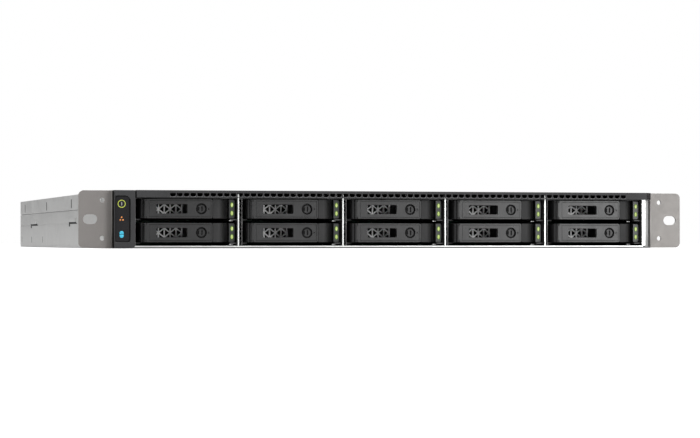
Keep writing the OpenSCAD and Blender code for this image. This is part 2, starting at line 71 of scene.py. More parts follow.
class Graph:
    """Short calls that build one material's node tree."""

    def __init__(self, name):
        self.material = bpy.data.materials.new(name)
        self.material.use_nodes = True
        self.tree = self.material.node_tree
        self.tree.nodes.clear()
        self.shader = self.add("ShaderNodeBsdfPrincipled")
        out = self.add("ShaderNodeOutputMaterial")
        self.link(self.shader.outputs[0], out.inputs[0])
        self.place = self.add("ShaderNodeTexCoord").outputs["Object"]

    def add(self, kind):
        """A new node of the given type."""
        return self.tree.nodes.new(kind)

    def link(self, source, target):
        self.tree.links.new(source, target)

    def set(self, **values):
        """Fixed values of the shader's inputs; an underscore stands for a space."""
        for name, value in values.items():
            self.shader.inputs[name.replace("_", " ")].default_value = value

    def noise(self, scale, stretch=(1, 1, 1), detail=3.0, roughness=0.55):
        """Fac of a noise whose features are 1/scale metres wide."""
        mapping = self.add("ShaderNodeMapping")
        mapping.inputs["Scale"].default_value = stretch
        self.link(self.place, mapping.inputs["Vector"])
        node = self.add("ShaderNodeTexNoise")
        node.inputs["Scale"].default_value = scale
        node.inputs["Detail"].default_value = detail
        node.inputs["Roughness"].default_value = roughness
        self.link(mapping.outputs[0], node.inputs["Vector"])
        return node.outputs["Fac"]

    def cells(self, scale, output="Distance"):
        """Distance to, or random colour of, the nearest of many scattered cells."""
        node = self.add("ShaderNodeTexVoronoi")
        node.inputs["Scale"].default_value = scale
        self.link(self.place, node.inputs["Vector"])
        return node.outputs[output]

    def ramp(self, fac, *stops):
        """Colour ramp of (position, colour) stops; a colour may be one grey value."""
        node = self.add("ShaderNodeValToRGB")
        ramp = node.color_ramp
        while len(ramp.elements) < len(stops):
            ramp.elements.new(0.5)
        for element, (position, colour) in zip(ramp.elements, stops):
            element.position = position
            element.color = rgba(colour)
        self.link(fac, node.inputs["Fac"])
        return node.outputs["Color"]

    def rescale(self, fac, to_low, to_high, from_low=0.3, from_high=0.7):
        """Stretches the middle of a noise's range over new limits."""
        node = self.add("ShaderNodeMapRange")
        for name, value in (("From Min", from_low), ("From Max", from_high),
                            ("To Min", to_low), ("To Max", to_high)):
            node.inputs[name].default_value = value
        self.link(fac, node.inputs["Value"])
        return node.outputs["Result"]

    def maths(self, operation, a, b):
        """Sum or product of sockets and numbers."""
        node = self.add("ShaderNodeMath")
        node.operation = operation
        for socket, value in zip(node.inputs, (a, b)):
            if isinstance(value, (int, float)):
                socket.default_value = value
            else:
                self.link(value, socket)
        return node.outputs[0]

    def mix(self, fac, a, b):
        """Mixes two colour sockets."""
        node = self.add("ShaderNodeMix")
        node.data_type = "RGBA"
        self.link(fac, node.inputs["Factor"])
        self.link(a, node.inputs["A"])
        self.link(b, node.inputs["B"])
        return node.outputs["Result"]

    def bump(self, height, distance, strength=1.0, under=None):
        """Bump of the given depth in metres, on top of another bump if one is named."""
        node = self.add("ShaderNodeBump")
        node.inputs["Distance"].default_value = distance
        node.inputs["Strength"].default_value = strength
        self.link(height, node.inputs["Height"])
        if under is not None:
            self.link(under, node.inputs["Normal"])
        self.link(node.outputs[0], self.shader.inputs["Normal"])
        return node.outputs[0]


def rgba(colour):
    """Opaque colour from three channels or from one grey value."""
    if isinstance(colour, (int, float)):
        colour = (colour,) * 3
    return (*colour[:3], 1.0)


def times(colour, factor):
    """A lighter or darker shade of a colour."""
    return tuple(min(1.0, channel * factor) for channel in colour)


def plastic(name, colour, rough=0.42, depth=1.2e-5, variation=0.14, gloss=0.5):
    """Moulded plastic: fine spark-eroded grain, uneven sheen and faint scuffs."""
    g = Graph(name)
    broad = g.noise(38, detail=4.0)
    base = g.ramp(broad, (0.35, times(colour, 1 - variation)), (0.65, times(colour, 1 + variation)))
    scuffs = g.noise(420, stretch=(0.18, 1, 2.4), detail=6.0, roughness=0.7)
    worn = g.ramp(scuffs, (0.66, 0.0), (0.72, 1.0))
    tone = g.ramp(g.noise(900), (0.4, times(colour, 1.25)), (0.6, times(colour, 1.5)))
    g.link(g.mix(worn, base, tone), g.shader.inputs["Base Color"])
    g.link(g.rescale(g.noise(120), rough - 0.03, rough + 0.04), g.shader.inputs["Roughness"])
    grain_bump = g.bump(g.noise(5200, detail=2.0), depth, 0.5)
    g.bump(broad, depth * 2, 0.25, under=grain_bump)
    g.set(Specular_IOR_Level=gloss)
    return g.material


def sheet_metal(name, colour, rough=0.36, spangle=0.06, brushed=(1, 0.06, 1), metallic=0.9):
    """Zinc-coated sheet: faint crystal spangle under fine rolling lines."""
    g = Graph(name)
    crystals = g.cells(95, output="Color")
    grey = g.add("ShaderNodeRGBToBW")
    g.link(crystals, grey.inputs[0])
    lines = g.noise(1500, stretch=brushed, detail=4.0)
    both = g.maths("ADD", g.maths("MULTIPLY", grey.outputs[0], 0.55), g.maths("MULTIPLY", lines, 0.45))
    base = g.ramp(both, (0.25, times(colour, 1 - spangle)), (0.75, times(colour, 1 + spangle)))
    scratch = g.noise(260, stretch=(3, 0.08, 3), detail=5.0, roughness=0.75)
    marked = g.ramp(scratch, (0.68, 0.0), (0.74, 1.0))
    bright = g.ramp(lines, (0.3, times(colour, 1.12)), (0.7, times(colour, 1.3)))
    g.link(g.mix(marked, base, bright), g.shader.inputs["Base Color"])
    g.link(g.rescale(both, rough - 0.06, rough + 0.08, 0.25, 0.75), g.shader.inputs["Roughness"])
    g.bump(lines, 6e-6, 0.35, under=g.bump(g.noise(30), 3e-5, 0.08))
    g.set(Metallic=metallic)
    return g.material


def coated(name, colour, rough=0.5, metallic=0.35):
    """Powder-coated or passivated plate with a fine orange peel."""
    g = Graph(name)
    cloud = g.noise(24, detail=5.0)
    base = g.ramp(cloud, (0.3, times(colour, 0.94)), (0.7, times(colour, 1.06)))
    specks = g.ramp(g.noise(2600, detail=2.0), (0.7, 0.0), (0.76, 1.0))
    pale = g.ramp(cloud, (0.3, times(colour, 1.12)), (0.7, times(colour, 1.2)))
    g.link(g.mix(specks, base, pale), g.shader.inputs["Base Color"])
    g.link(g.rescale(g.noise(180), rough - 0.06, rough + 0.06), g.shader.inputs["Roughness"])
    g.bump(g.noise(3400, detail=2.0), 1.2e-5, 0.45)
    g.set(Metallic=metallic)
    return g.material


def lit(name, colour, core, strength):
    """A lit lens: brighter where the moulding is thin, with a glossy skin."""
    g = Graph(name)
    fac = g.noise(700, detail=2.0)
    g.link(g.ramp(fac, (0.35, times(colour, 0.4)), (0.65, times(core, 0.4))), g.shader.inputs["Base Color"])
    g.link(g.ramp(fac, (0.35, colour), (0.65, core)), g.shader.inputs["Emission Color"])
    g.link(g.rescale(fac, 0.16, 0.3), g.shader.inputs["Roughness"])
    g.bump(g.noise(2500), 1e-5, 0.3)
    g.set(Emission_Strength=strength)
    return g.material


def glow_plate(name, colour, halo):
    """Plastic that picks up the colour of the lights set in it, from the mesh's glow values."""
    g = Graph(name)
    glow = g.add("ShaderNodeAttribute")
    glow.attribute_name = "glow"
    base = g.ramp(g.noise(60, detail=4.0), (0.35, times(colour, 0.88)), (0.65, times(colour, 1.12)))
    tint = g.ramp(glow.outputs["Fac"], (0.0, colour), (0.55, times(halo, 0.5)), (1.0, halo))
    g.link(g.mix(glow.outputs["Fac"], base, tint), g.shader.inputs["Base Color"])
    g.link(g.ramp(glow.outputs["Fac"], (0.0, 0.0), (0.5, times(halo, 0.16)), (1.0, halo)),
           g.shader.inputs["Emission Color"])
    g.link(g.rescale(g.noise(200), 0.29, 0.36), g.shader.inputs["Roughness"])
    g.bump(g.noise(5200, detail=2.0), 1.2e-5, 0.45)
    g.set(Emission_Strength=0.5, Specular_IOR_Level=0.42)
    return g.material


def board(name, colour):
    """Solder resist over copper tracks and rows of plated holes."""
    g = Graph(name)
    bricks = g.add("ShaderNodeTexBrick")
    bricks.inputs["Scale"].default_value = 260
    bricks.inputs["Mortar Size"].default_value = 0.06
    bricks.inputs["Color1"].default_value = rgba(times(colour, 0.8))
    bricks.inputs["Color2"].default_value = rgba(times(colour, 1.25))
    bricks.inputs["Mortar"].default_value = rgba(times(colour, 1.7))
    g.link(g.place, bricks.inputs["Vector"])
    vias = g.ramp(g.cells(420), (0.1, 1.0), (0.14, 0.0))
    tin = g.ramp(g.noise(300), (0.3, (0.42, 0.36, 0.2)), (0.7, (0.6, 0.52, 0.3)))
    g.link(g.mix(vias, bricks.outputs["Color"], tin), g.shader.inputs["Base Color"])
    g.link(g.rescale(g.noise(90), 0.3, 0.45), g.shader.inputs["Roughness"])
    g.bump(bricks.outputs["Fac"], 2e-5, 0.5)
    return g.material


bezel_black = plastic("bezel_black", (0.018, 0.018, 0.019), rough=0.55, gloss=0.28)
# Grey for the rims at the foot of the bar's air slots: painted highlight
vent_lip_highlight = plastic("vent_lip_highlight", (0.13, 0.13, 0.132), rough=0.34)
# Lighter copy for the bezel's bevelled edges: edge wear plus a painted highlight
bezel_edge_wear_and_highlight = plastic("bezel_edge_wear_and_highlight", (0.07, 0.07, 0.072), rough=0.34)
panel_black = plastic("panel_black", (0.006, 0.0055, 0.0065), rough=0.24, depth=4e-6, gloss=0.22)
tray_black = plastic("tray_black", (0.008, 0.008, 0.0085), rough=0.5, gloss=0.25)
shoulder_black = plastic("shoulder_black", (0.010, 0.010, 0.0103), rough=0.57, gloss=0.3)
# Lighter copy for the trays' and buttons' bevelled edges: edge wear plus a painted highlight
tray_edge_wear_and_highlight = plastic("tray_edge_wear_and_highlight", (0.03, 0.03, 0.03), rough=0.4, gloss=0.4)
lever_black = plastic("lever_black", (0.005, 0.005, 0.0054), rough=0.3, gloss=0.45)
# Lighter copy for the levers' bevelled edges: edge wear plus a painted highlight
lever_edge_wear_and_highlight = plastic("lever_edge_wear_and_highlight", (0.07, 0.07, 0.071), rough=0.34)
# Grille bars: paler than the lever, raised to near white as painted light for the cavity that light hardly
# reaches
grille_grey_and_painted_light = plastic("grille_grey_and_painted_light", (0.93, 0.93, 0.93), rough=0.4, variation=0.05)
# Near-black that paints shade into slots, recesses, grooves, gaps and the tunnel behind each lever's window
painted_shade_black = plastic("painted_shade_black", (0.003, 0.003, 0.003), rough=0.6, gloss=0.1)
button_black = plastic("button_black", (0.005, 0.005, 0.0054), rough=0.32, gloss=0.4)
fan_black = plastic("fan_black", (0.021, 0.021, 0.022), rough=0.48)
socket_black = plastic("socket_black", (0.014, 0.014, 0.015), rough=0.5)
latch_red = plastic("latch_red", (0.36, 0.025, 0.018), rough=0.3, variation=0.08)
contact_blue = plastic("contact_blue", (0.02, 0.09, 0.42), rough=0.35, variation=0.08)
cover_steel = sheet_metal("cover_steel", (0.46, 0.46, 0.455))
# Darker, rougher copy of the cover's steel for its top: painted shade
cover_top_painted_shade = sheet_metal("cover_top_painted_shade", (0.2, 0.2, 0.198), rough=0.52, metallic=0.8)
base_steel = sheet_metal("base_steel", (0.41, 0.41, 0.405))
jamb_steel = sheet_metal("jamb_steel", (0.165, 0.165, 0.163), rough=0.45)
sill_steel = sheet_metal("sill_steel", (0.13, 0.13, 0.13), rough=0.5)
cage_bright = sheet_metal("cage_bright", (0.58, 0.59, 0.58), rough=0.34, spangle=0.03)
# Dark copy of the cage's steel for its inside: painted shade
cage_painted_shade = sheet_metal("cage_painted_shade", (0.045, 0.045, 0.045), rough=0.55, metallic=0.5)
fold_grey = sheet_metal("fold_grey", (0.26, 0.26, 0.26), rough=0.5, metallic=0.4)
strip_black = plastic("strip_black", (0.02, 0.02, 0.021), rough=0.5, gloss=0.3)
supply_steel = sheet_metal("supply_steel", (0.50, 0.51, 0.51), rough=0.4)
port_tin = sheet_metal("port_tin", (0.70, 0.71, 0.72), rough=0.28, spangle=0.03)
screw_steel = sheet_metal("screw_steel", (0.26, 0.26, 0.26), rough=0.3, brushed=(1, 1, 1))
drive_metal = sheet_metal("drive_metal", (0.46, 0.47, 0.48), rough=0.38, brushed=(0.06, 1, 1))
fin_aluminium = sheet_metal("fin_aluminium", (0.66, 0.67, 0.69), rough=0.34, spangle=0.02)
# The ears share one grey: the left copy is darker, painted shade, and the right copy lighter, painted light
ear_left_painted_shade = coated("ear_left_painted_shade", (0.138, 0.129, 0.123))
ear_right_painted_light = coated("ear_right_painted_light", (0.172, 0.163, 0.155))
# Lighter copy for the ears' bevelled edges and the right ear's bend: edge wear plus a painted highlight
ear_edge_wear_and_highlight = coated("ear_edge_wear_and_highlight", (0.3, 0.288, 0.276), rough=0.42)
gold = coated("gold", (0.75, 0.52, 0.18), rough=0.28, metallic=0.95)
pcb_green = board("pcb_green", (0.015, 0.09, 0.045))
chip_black = plastic("chip_black", (0.02, 0.02, 0.021), rough=0.5, variation=0.06)
can_grey = coated("can_grey", (0.45, 0.46, 0.48), rough=0.3, metallic=0.8)
ring_light = lit("ring_light", (0.34, 0.4, 0.035), (0.46, 0.52, 0.08), 0.85)
orange_light = lit("orange_light", (0.5, 0.17, 0.04), (0.7, 0.28, 0.08), 0.7)
cyan_light = lit("cyan_light", (0.02, 0.3, 0.44), (0.05, 0.44, 0.6), 0.75)
lamp_core = lit("lamp_core", (0.38, 0.49, 0.1), (0.6, 0.69, 0.28), 0.66)
lamp_rim = lit("lamp_rim", (0.09, 0.19, 0.015), (0.14, 0.27, 0.03), 0.8)
lamp_plate = glow_plate("lamp_plate", (0.006, 0.0065, 0.006), (0.05, 0.12, 0.012))
# Pale tabs in the dark gap between trays: a painted glint
tab_painted_glint = coated("tab_painted_glint", (0.6, 0.6, 0.59), rough=0.4, metallic=0.0)
mark_grey = plastic("mark_grey", (0.2, 0.2, 0.2), rough=0.35)


# ------------------------------------------------------ dressing CAD nodes

def dress(name, *materials, edge=None, bevel=0.2, pick=None):
    """Gives a CAD node its materials and rounds its edges with modifiers; its mesh stays as it is.
    pick(centre, normal), in millimetres, names the material of each face."""
    node = nodes[name]
    mesh = node.data
    mesh.materials.clear()
    for material in (*materials, *([edge] if edge else [])):
        mesh.materials.append(material)
    for polygon in mesh.polygons:
        polygon.material_index = pick(polygon.center / MM, polygon.normal) if pick else 0
        polygon.use_smooth = True
    if "custom_normal" in mesh.attributes:
        mesh.attributes.remove(mesh.attributes["custom_normal"])
    weld = node.modifiers.new("weld", "WELD")
    weld.merge_threshold = 3e-6
    flat = node.modifiers.new("flat", "DECIMATE")
    flat.decimate_type = "DISSOLVE"
    flat.angle_limit = math.radians(0.6)
    flat.delimit = {"MATERIAL"}
    rounding = node.modifiers.new("rounding", "BEVEL")
    rounding.width = bevel * MM
    rounding.segments = 2
    rounding.limit_method = "ANGLE"
    rounding.angle_limit = math.radians(42)
    rounding.harden_normals = True
    rounding.use_clamp_overlap = True
    # The bevel's faces take the edge material, a lighter copy: edge wear plus a painted highlight along
    # every rounded edge
    if edge:
        rounding.material = len(materials)


# ----------------------------------------------------- building new pieces

class Build:
    """Collects solids, in millimetres, and turns them into one piece."""

    def __init__(self):
        self.bm = bmesh.new()
        self.mark = 0

    def paint(self, index):
        """What is added from here on takes the material with this index."""
        self.mark = index

    def stamp(self, faces):
        """Gives new faces the current material and smooth shading."""
        for face in faces:
            face.material_index = self.mark
            face.smooth = True

    def box(self, a, b):
        """A block between two opposite corners."""
        x, y, z = zip(a, b)
        corners = [self.bm.verts.new((x[i], y[j], z[k])) for i in (0, 1) for j in (0, 1) for k in (0, 1)]
        order = ((0, 1, 3, 2), (4, 6, 7, 5), (0, 4, 5, 1), (2, 3, 7, 6), (0, 2, 6, 4), (1, 5, 7, 3))
        self.stamp([self.bm.faces.new([corners[i] for i in face]) for face in order])

    def prism(self, outline, along, a, b):
        """Pushes a closed outline of flat points from a to b along one axis."""
        def point(u, v, w):
            return {"x": (w, u, v), "y": (u, w, v), "z": (u, v, w)}[along]
        first = [self.bm.verts.new(point(u, v, a)) for u, v in outline]
        last = [self.bm.verts.new(point(u, v, b)) for u, v in outline]
        faces = [self.bm.faces.new(first), self.bm.faces.new(last[::-1])]
        for i in range(len(outline)):
            j = (i + 1) % len(outline)
            faces.append(self.bm.faces.new((first[i], first[j], last[j], last[i])))
        self.stamp(faces)

    def band(self, outer, inner, y0, y1):
        """A closed band between two outlines with equally many points, pushed along Y."""
        rings = [[self.bm.verts.new((u, y, v)) for u, v in outline]
                 for outline, y in ((outer, y0), (inner, y0), (inner, y1), (outer, y1))]
        faces = []
        for k in range(4):
            a, b = rings[k], rings[(k + 1) % 4]
            for i in range(len(a)):
                j = (i + 1) % len(a)
                faces.append(self.bm.faces.new((a[i], a[j], b[j], b[i])))
        self.stamp(faces)

    def turned(self, profile, at, axis="z", steps=32):
        """Turns (radius, height) points about an axis through at; both ends are closed."""
        rings = []
        for radius, height in profile:
            ring = []
            for k in range(steps):
                angle = 2 * math.pi * k / steps
                u, v = radius * math.cos(angle), radius * math.sin(angle)
                p = {"x": (height, u, v), "y": (u, height, v), "z": (u, v, height)}[axis]
                ring.append(self.bm.verts.new(Vector(p) + Vector(at)))
            rings.append(ring)
        faces = [self.bm.faces.new(rings[0]), self.bm.faces.new(rings[-1][::-1])]
        for a, b in zip(rings, rings[1:]):
            for k in range(steps):
                n = (k + 1) % steps
                faces.append(self.bm.faces.new((a[k], b[k], b[n], a[n])))
        self.stamp(faces)

    def piece(self, name, body, slot, *materials, bevel=0.12, at=(0, 0, 0)):
        """Ends the building: what was collected becomes a piece that rides on a body."""
        bmesh.ops.recalc_face_normals(self.bm, faces=self.bm.faces[:])
        bmesh.ops.scale(self.bm, vec=(MM, MM, MM), verts=self.bm.verts[:])
        mesh = bpy.data.meshes.new(name)
        self.bm.to_mesh(mesh)
        self.bm.free()
        for material in materials:
            mesh.materials.append(material)
        return put(name, mesh, body, at, bevel)

    def on_trays(self, name, body, slot, *materials, bevel=0.12):
        """Ends the building with one piece per tray, all sharing the mesh of the first."""
        for n in TRAYS:
            corner = low(f"tray_{n}")
            at = (corner.x, 0, corner.z)
            if n == 1:
                mesh = self.piece(f"{name}_1", f"{body}_1", slot, *materials, bevel=bevel, at=at).data
            else:
                put(f"{name}_{n}", mesh, f"{body}_{n}", at, bevel)


def put(name, mesh, body, at, bevel):
    """Places a mesh as a piece that rides on a body; copies may share one mesh."""
    piece = bpy.data.objects.new(name, mesh)
    bpy.context.scene.collection.objects.link(piece)
    piece.location = Vector(at) * MM
    if bevel:
        rounding = piece.modifiers.new("rounding", "BEVEL")
        rounding.width = bevel * MM
        rounding.segments = 2
        rounding.limit_method = "ANGLE"
        rounding.angle_limit = math.radians(35)
        rounding.harden_normals = True
    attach(piece, body)
    return piece


def arc(centre, radius, start, end, steps):
    """Points of an arc, angles in degrees."""
    return [(centre[0] + radius * math.cos(math.radians(start + (end - start) * k / steps)),
             centre[1] + radius * math.sin(math.radians(start + (end - start) * k / steps)))
            for k in range(steps + 1)]


def rounded(x0, x1, z0, z1, radius, steps=6):
    """Outline of a rectangle with round corners."""
    return (arc((x1 - radius, z1 - radius), radius, 0, 90, steps)
            + arc((x0 + radius, z1 - radius), radius, 90, 180, steps)
            + arc((x0 + radius, z0 + radius), radius, 180, 270, steps)
            + arc((x1 - radius, z0 + radius), radius, 270, 360, steps))


# -------------------------------------------------------------- the frame

def dress_chassis():
    """Sheet metal of the outside: walls, cover, ears and the cage of the bays."""
    lip_y, jamb_y = 0.3, low("chassis_base").y + 3.3
    ground, roof = low("chassis_base").z, high("top_cover").z

    def within_sheet(centre, normal):
        """True for a face inside a cut through a side wall or through the cover's flange."""
        return 215.9 < abs(centre.x) < 216.95 and abs(normal.x) < 0.3

    def chassis_face(centre, normal):
        across = abs(centre.x)
        if 211.8 < across < 215.8 and centre.y < jamb_y:
            return 1
        if within_sheet(centre, normal):
            in_slot = any(y0 - 1 < centre.y < y1 + 1 for y0, y1 in WALL_SLOTS)
            in_slit = WALL_SLITS[0] - 1 < centre.y < WALL_SLITS[-1] + 2
            # Faces inside the slots and slits take painted shade
            return 3 if (in_slot or in_slit) and ground + 3.5 < centre.z < ground + 21.3 else 0
        # Front ends of the pressed bands take the bright cage steel, a painted highlight on faces that stay
        # in shade
        if across > 217.05 and normal.y < -0.9:
            return 4
        return 2 if centre.y < lip_y else 0
    dress("chassis_base", base_steel, jamb_steel, sill_steel, painted_shade_black, cage_bright, bevel=0.1,
          pick=chassis_face)

    def cover_face(centre, normal):
        # The cover's top takes the darker copy, painted shade
        if normal.z > 0.9 and centre.z > roof - 3:
            return 2
        # Faces inside the flange slots take painted shade
        near_slots = COVER_SLOTS[0] - 6 < centre.y < COVER_SLOTS[-1] + 8 and centre.z < roof - 1.4
        return 1 if near_slots and within_sheet(centre, normal) else 0
    dress("top_cover", cover_steel, painted_shade_black, cover_top_painted_shade, bevel=0.3, pick=cover_face)

    def ear_face(centre, normal):
        return 1 if centre.y > 2.5 else 0
    # Left ear in the darker copy (painted shade), right ear in the lighter copy (painted light)
    dress("left_ear", ear_left_painted_shade, base_steel, edge=ear_edge_wear_and_highlight, bevel=0.3, pick=ear_face)
    dress("right_ear", ear_right_painted_light, base_steel, edge=ear_edge_wear_and_highlight, bevel=0.3, pick=ear_face)
    dress("expansion_covers", port_tin, bevel=0.15)
    dress("case_screws", screw_steel, bevel=0.12)

    def cage_face(centre, normal):
        if 6.9 < centre.y < 7.9 and abs(normal.x) < 0.5:
            return 2
        # Behind its front edges the cage takes the dark copy, painted shade
        return 0 if centre.y < 1.5 else 1
    dress("bay_cage", cage_bright, cage_painted_shade, strip_black, bevel=0.12, pick=cage_face)


def dress_bezel():
    """Black plastic of the front: the air slots' bar and the control panel."""
    def bar_face(centre, normal):
        # The bar's right end takes the darker panel black, painted shade
        return 1 if normal.x > 0.5 and centre.x > 209 else 0
    dress("vent_bar", bezel_black, panel_black, edge=bezel_edge_wear_and_highlight, bevel=0.25, pick=bar_face)
    corner = low("control_panel")

    def panel_face(centre, normal):
        # The panel's left side takes painted shade
        if normal.x < -0.7 and centre.x < corner.x + 0.5:
            return 2
        return 1 if corner.y + 0.3 < centre.y < corner.y + 2 else 0
    dress("control_panel", bezel_black, panel_black, painted_shade_black, edge=bezel_edge_wear_and_highlight, bevel=0.3,
          pick=panel_face)
    dress("power_button", panel_black, edge=bezel_edge_wear_and_highlight, bevel=0.15)
    middle = (low("status_lights").z + high("status_lights").z) / 2

    def light_face(centre, normal):
        if centre.z > middle + 4:
            return 0
        return 1 if centre.z > middle - 6 else 2
    dress("status_lights", ring_light, orange_light, cyan_light, bevel=0.05, pick=light_face)


def dress_trays():
    """Trays with their drives, levers and release buttons."""
    for n in TRAYS:
        start = low(f"tray_{n}")
        face = low(f"lever_{n}").y

        def tray_face(centre, normal, start=start, face=face):
            x, y, z = centre.x - start.x, centre.y - face, centre.z - start.z
            in_window = 12 < x < 36 and 3 < z < 11.2 and y < 21.6
            if in_window:
                # Grille faces take the near-white grille, partly painted light; the window's tunnel walls
                # take painted shade
                return 1 if y > 19.9 else (3 if y > 4 else 0)
            on_drive = y > 22.9 and 1.8 < x < 71.8 and z > 1.15
            if on_drive:
                # The drive's front face takes painted shade
                return 3 if y < 23.1 else 2
            on_shoulder = 55 < x < 65 and y < 13 and abs(normal.z) < 0.5
            return 4 if on_shoulder else 0

        def lever_face(centre, normal, start=start, face=face):
            x, y, z = centre.x - start.x, centre.y - face, centre.z - start.z
            if math.hypot(x - BUTTON[0], z - BUTTON[1]) < 4.3:
                # The walls of the button's well take painted shade
                return 1 if 0.2 < y < 2.9 else 0
            # The floor of the engraved groove takes painted shade
            engraved = normal.y < -0.9 and 0.04 < y < 0.7
            beside_window = 6.4 < x < 12.4 and 3 < z < 11.2
            return 1 if engraved and not beside_window else 0
        dress(f"tray_{n}", tray_black, grille_grey_and_painted_light, drive_metal, painted_shade_black, shoulder_black,
              edge=tray_edge_wear_and_highlight, bevel=0.15, pick=tray_face)
        dress(f"lever_{n}", lever_black, painted_shade_black, edge=lever_edge_wear_and_highlight, bevel=0.22, pick=lever_face)

        def button_face(centre, normal, face=face):
            # This ring of faces deep in the well takes painted shade
            return 1 if 1.4 < centre.y - face < 2.0 else 0
        dress(f"release_button_{n}", button_black, painted_shade_black, edge=tray_edge_wear_and_highlight, bevel=0.12,
              pick=button_face)


def dress_inside():
    """Boards, memory, heat sink, fans and ports."""
    dress("backplane", pcb_green, bevel=0.08)
    dress("front_panel_board", pcb_green, bevel=0.08)
    top = low("motherboard").z + 8.6

    def board_face(centre, normal):
        return 1 if centre.z > top + 0.2 else (2 if centre.z < top - 1.8 else 0)
    dress("motherboard", pcb_green, chip_black, port_tin, bevel=0.1, pick=board_face)
    dress("cpu_heatsink", fin_aluminium, bevel=0.08)
    socket_top = low("memory_modules").z + 5.1

    def module_face(centre, normal):
        return 1 if centre.z < socket_top else 0
    dress("memory_modules", pcb_green, chip_black, bevel=0.08, pick=module_face)
    dress("fan_frames", fan_black, bevel=0.5)
    for n in FANS:
        dress(f"fan_rotor_{n}", fan_black, bevel=0.2)
    dress("io_ports", port_tin, bevel=0.12)


def supply_back(n):
    """Y of a power supply's rear plate, in front of its handle."""
    return high(f"psu_handle_{n}").y - 22


def dress_supplies():
    """Power supplies with their handles and latches."""
    for n in SUPPLIES:
        start = low(f"psu_{n}")
        back = supply_back(n)

        def supply_face(centre, normal, start=start, back=back):
            x, z = centre.x - start.x, centre.z - start.z
            in_inlet = centre.y > back - 24.5 and 7.2 < x < 33.8 and 7.8 < z < 27.6
            return 1 if in_inlet else 0
        dress(f"psu_{n}", supply_steel, socket_black, bevel=0.25, pick=supply_face)
        dress(f"psu_handle_{n}", fan_black, bevel=0.8)
        dress(f"psu_latch_{n}", latch_red, bevel=0.4)


# ------------------------------------------------------------ front pieces

def vent_lips():
    """A thin grey rim round the foot of each air slot of the top bar, a painted highlight on the slot's
    sill.
    """
    start = low("vent_bar")
    build = Build()
    count, first, pitch, width = 71, 25.4, 5.16, 4.15
    rim, radius = 0.22, 1.1
    for k in range(count):
        x0 = start.x + first + k * pitch
        x1 = x0 + width
        z0 = start.z + 0.4
        outer = [*arc((x0 + radius, z0 + radius), radius, 190, 270, 4),
                 *arc((x1 - radius, z0 + radius), radius, 270, 350, 4)]
        inner = [*arc((x1 - radius, z0 + radius), radius - rim, 350, 270, 4),
                 *arc((x0 + radius, z0 + radius), radius - rim, 270, 190, 4)]
        build.prism(outer + inner, "y", start.y + 0.02, start.y + 0.95)
    # The rims' grey is a painted highlight
    build.piece("vent_lips", "root", "bezel_plastic", vent_lip_highlight, bevel=0.04)


def lamp_plates():
    """The plate at the right of each tray, which glows faintly round its two lights."""
    width, height, thick, corner = 4.4, 13.8, 0.35, 1.3
    columns, rows = 16, 46
    bm = bmesh.new()
    glow = bm.verts.layers.float.new("glow")
    grid = []
    for j in range(rows + 1):
        line = []
        for i in range(columns + 1):
            x, z = width * i / columns, height * j / rows
            inset = 0.0
            for edge_z in (z, height - z):
                if edge_z < corner and x > width - corner:
                    reach = math.sqrt(max(0.0, corner ** 2 - (corner - edge_z) ** 2))
                    inset = max(inset, corner - reach)
            x = min(x, width - inset)
            near = min(math.hypot((x - lx) / 1.1, (z - lz) / 1.9) for lx, lz in PLATE_LAMPS)
            vert = bm.verts.new((x, 0, z))
            vert[glow] = max(0.0, 1 - max(0.0, near - 0.75) / 1.15) ** 1.6
            line.append(vert)
        grid.append(line)
    for j in range(rows):
        for i in range(columns):
            bm.faces.new((grid[j][i], grid[j][i + 1], grid[j + 1][i + 1], grid[j + 1][i]))
    bmesh.ops.remove_doubles(bm, verts=bm.verts[:], dist=0.01)
    bmesh.ops.dissolve_degenerate(bm, dist=0.005, edges=bm.edges[:])
    face_list = bm.faces[:]
    bmesh.ops.recalc_face_normals(bm, faces=face_list)
    if sum(face.normal.y for face in face_list) > 0:
        bmesh.ops.reverse_faces(bm, faces=face_list)
    bmesh.ops.solidify(bm, geom=face_list, thickness=thick)
    bmesh.ops.scale(bm, vec=(MM, MM, MM), verts=bm.verts[:])
    mesh = bpy.data.meshes.new("lamp_plate")
    bm.to_mesh(mesh)
    bm.free()
    mesh.materials.append(lamp_plate)
    for n in TRAYS:
        start = low(f"tray_{n}")
        put(f"lamp_plate_{n}", mesh, f"tray_{n}",
            (start.x + PLATE[0], 4.14, start.z + PLATE[1]), bevel=0)


def lamps():
    """Two upright oval lenses on each plate, domed, with a darker green rim."""
    build = Build()
    half_w, half_h, rim = 0.86, 1.52, 0.25
    front, foot = 4.0, 4.3
    for place in PLATE_LAMPS:
        x, z = PLATE[0] + place[0], PLATE[1] + place[1]
        build.paint(1)
        build.prism(oval(x, z, half_w + rim, half_h + rim), "y", front, foot)
        build.paint(0)
        dome(build, x, z, half_w, half_h, front, 0.3)
    build.on_trays("lamps", "tray", "light_lens", lamp_core, lamp_rim, bevel=0)


def oval(x, z, half_w, half_h, steps=24):
    """Outline of an ellipse."""
    return [(x + half_w * math.cos(2 * math.pi * k / steps),
             z + half_h * math.sin(2 * math.pi * k / steps)) for k in range(steps)]


def dome(build, x, z, half_w, half_h, y, rise):
    """A shallow oval dome that bulges towards the front."""
    steps, rings = 24, 5
    bm = build.bm
    last = None
    faces = []
    for r in range(rings):
        t = math.pi / 2 * r / rings
        ring = [bm.verts.new((px, y - rise * math.sin(t), pz))
                for px, pz in oval(x, z, half_w * math.cos(t), half_h * math.cos(t), steps)]
        if last:
            for k in range(steps):
                n = (k + 1) % steps
                faces.append(bm.faces.new((last[k], last[n], ring[n], ring[k])))
        else:
            faces.append(bm.faces.new(ring[::-1]))
        last = ring
    tip = bm.verts.new((x, y - rise, z))
    for k in range(steps):
        faces.append(bm.faces.new((last[k], last[(k + 1) % steps], tip)))
    build.stamp(faces)


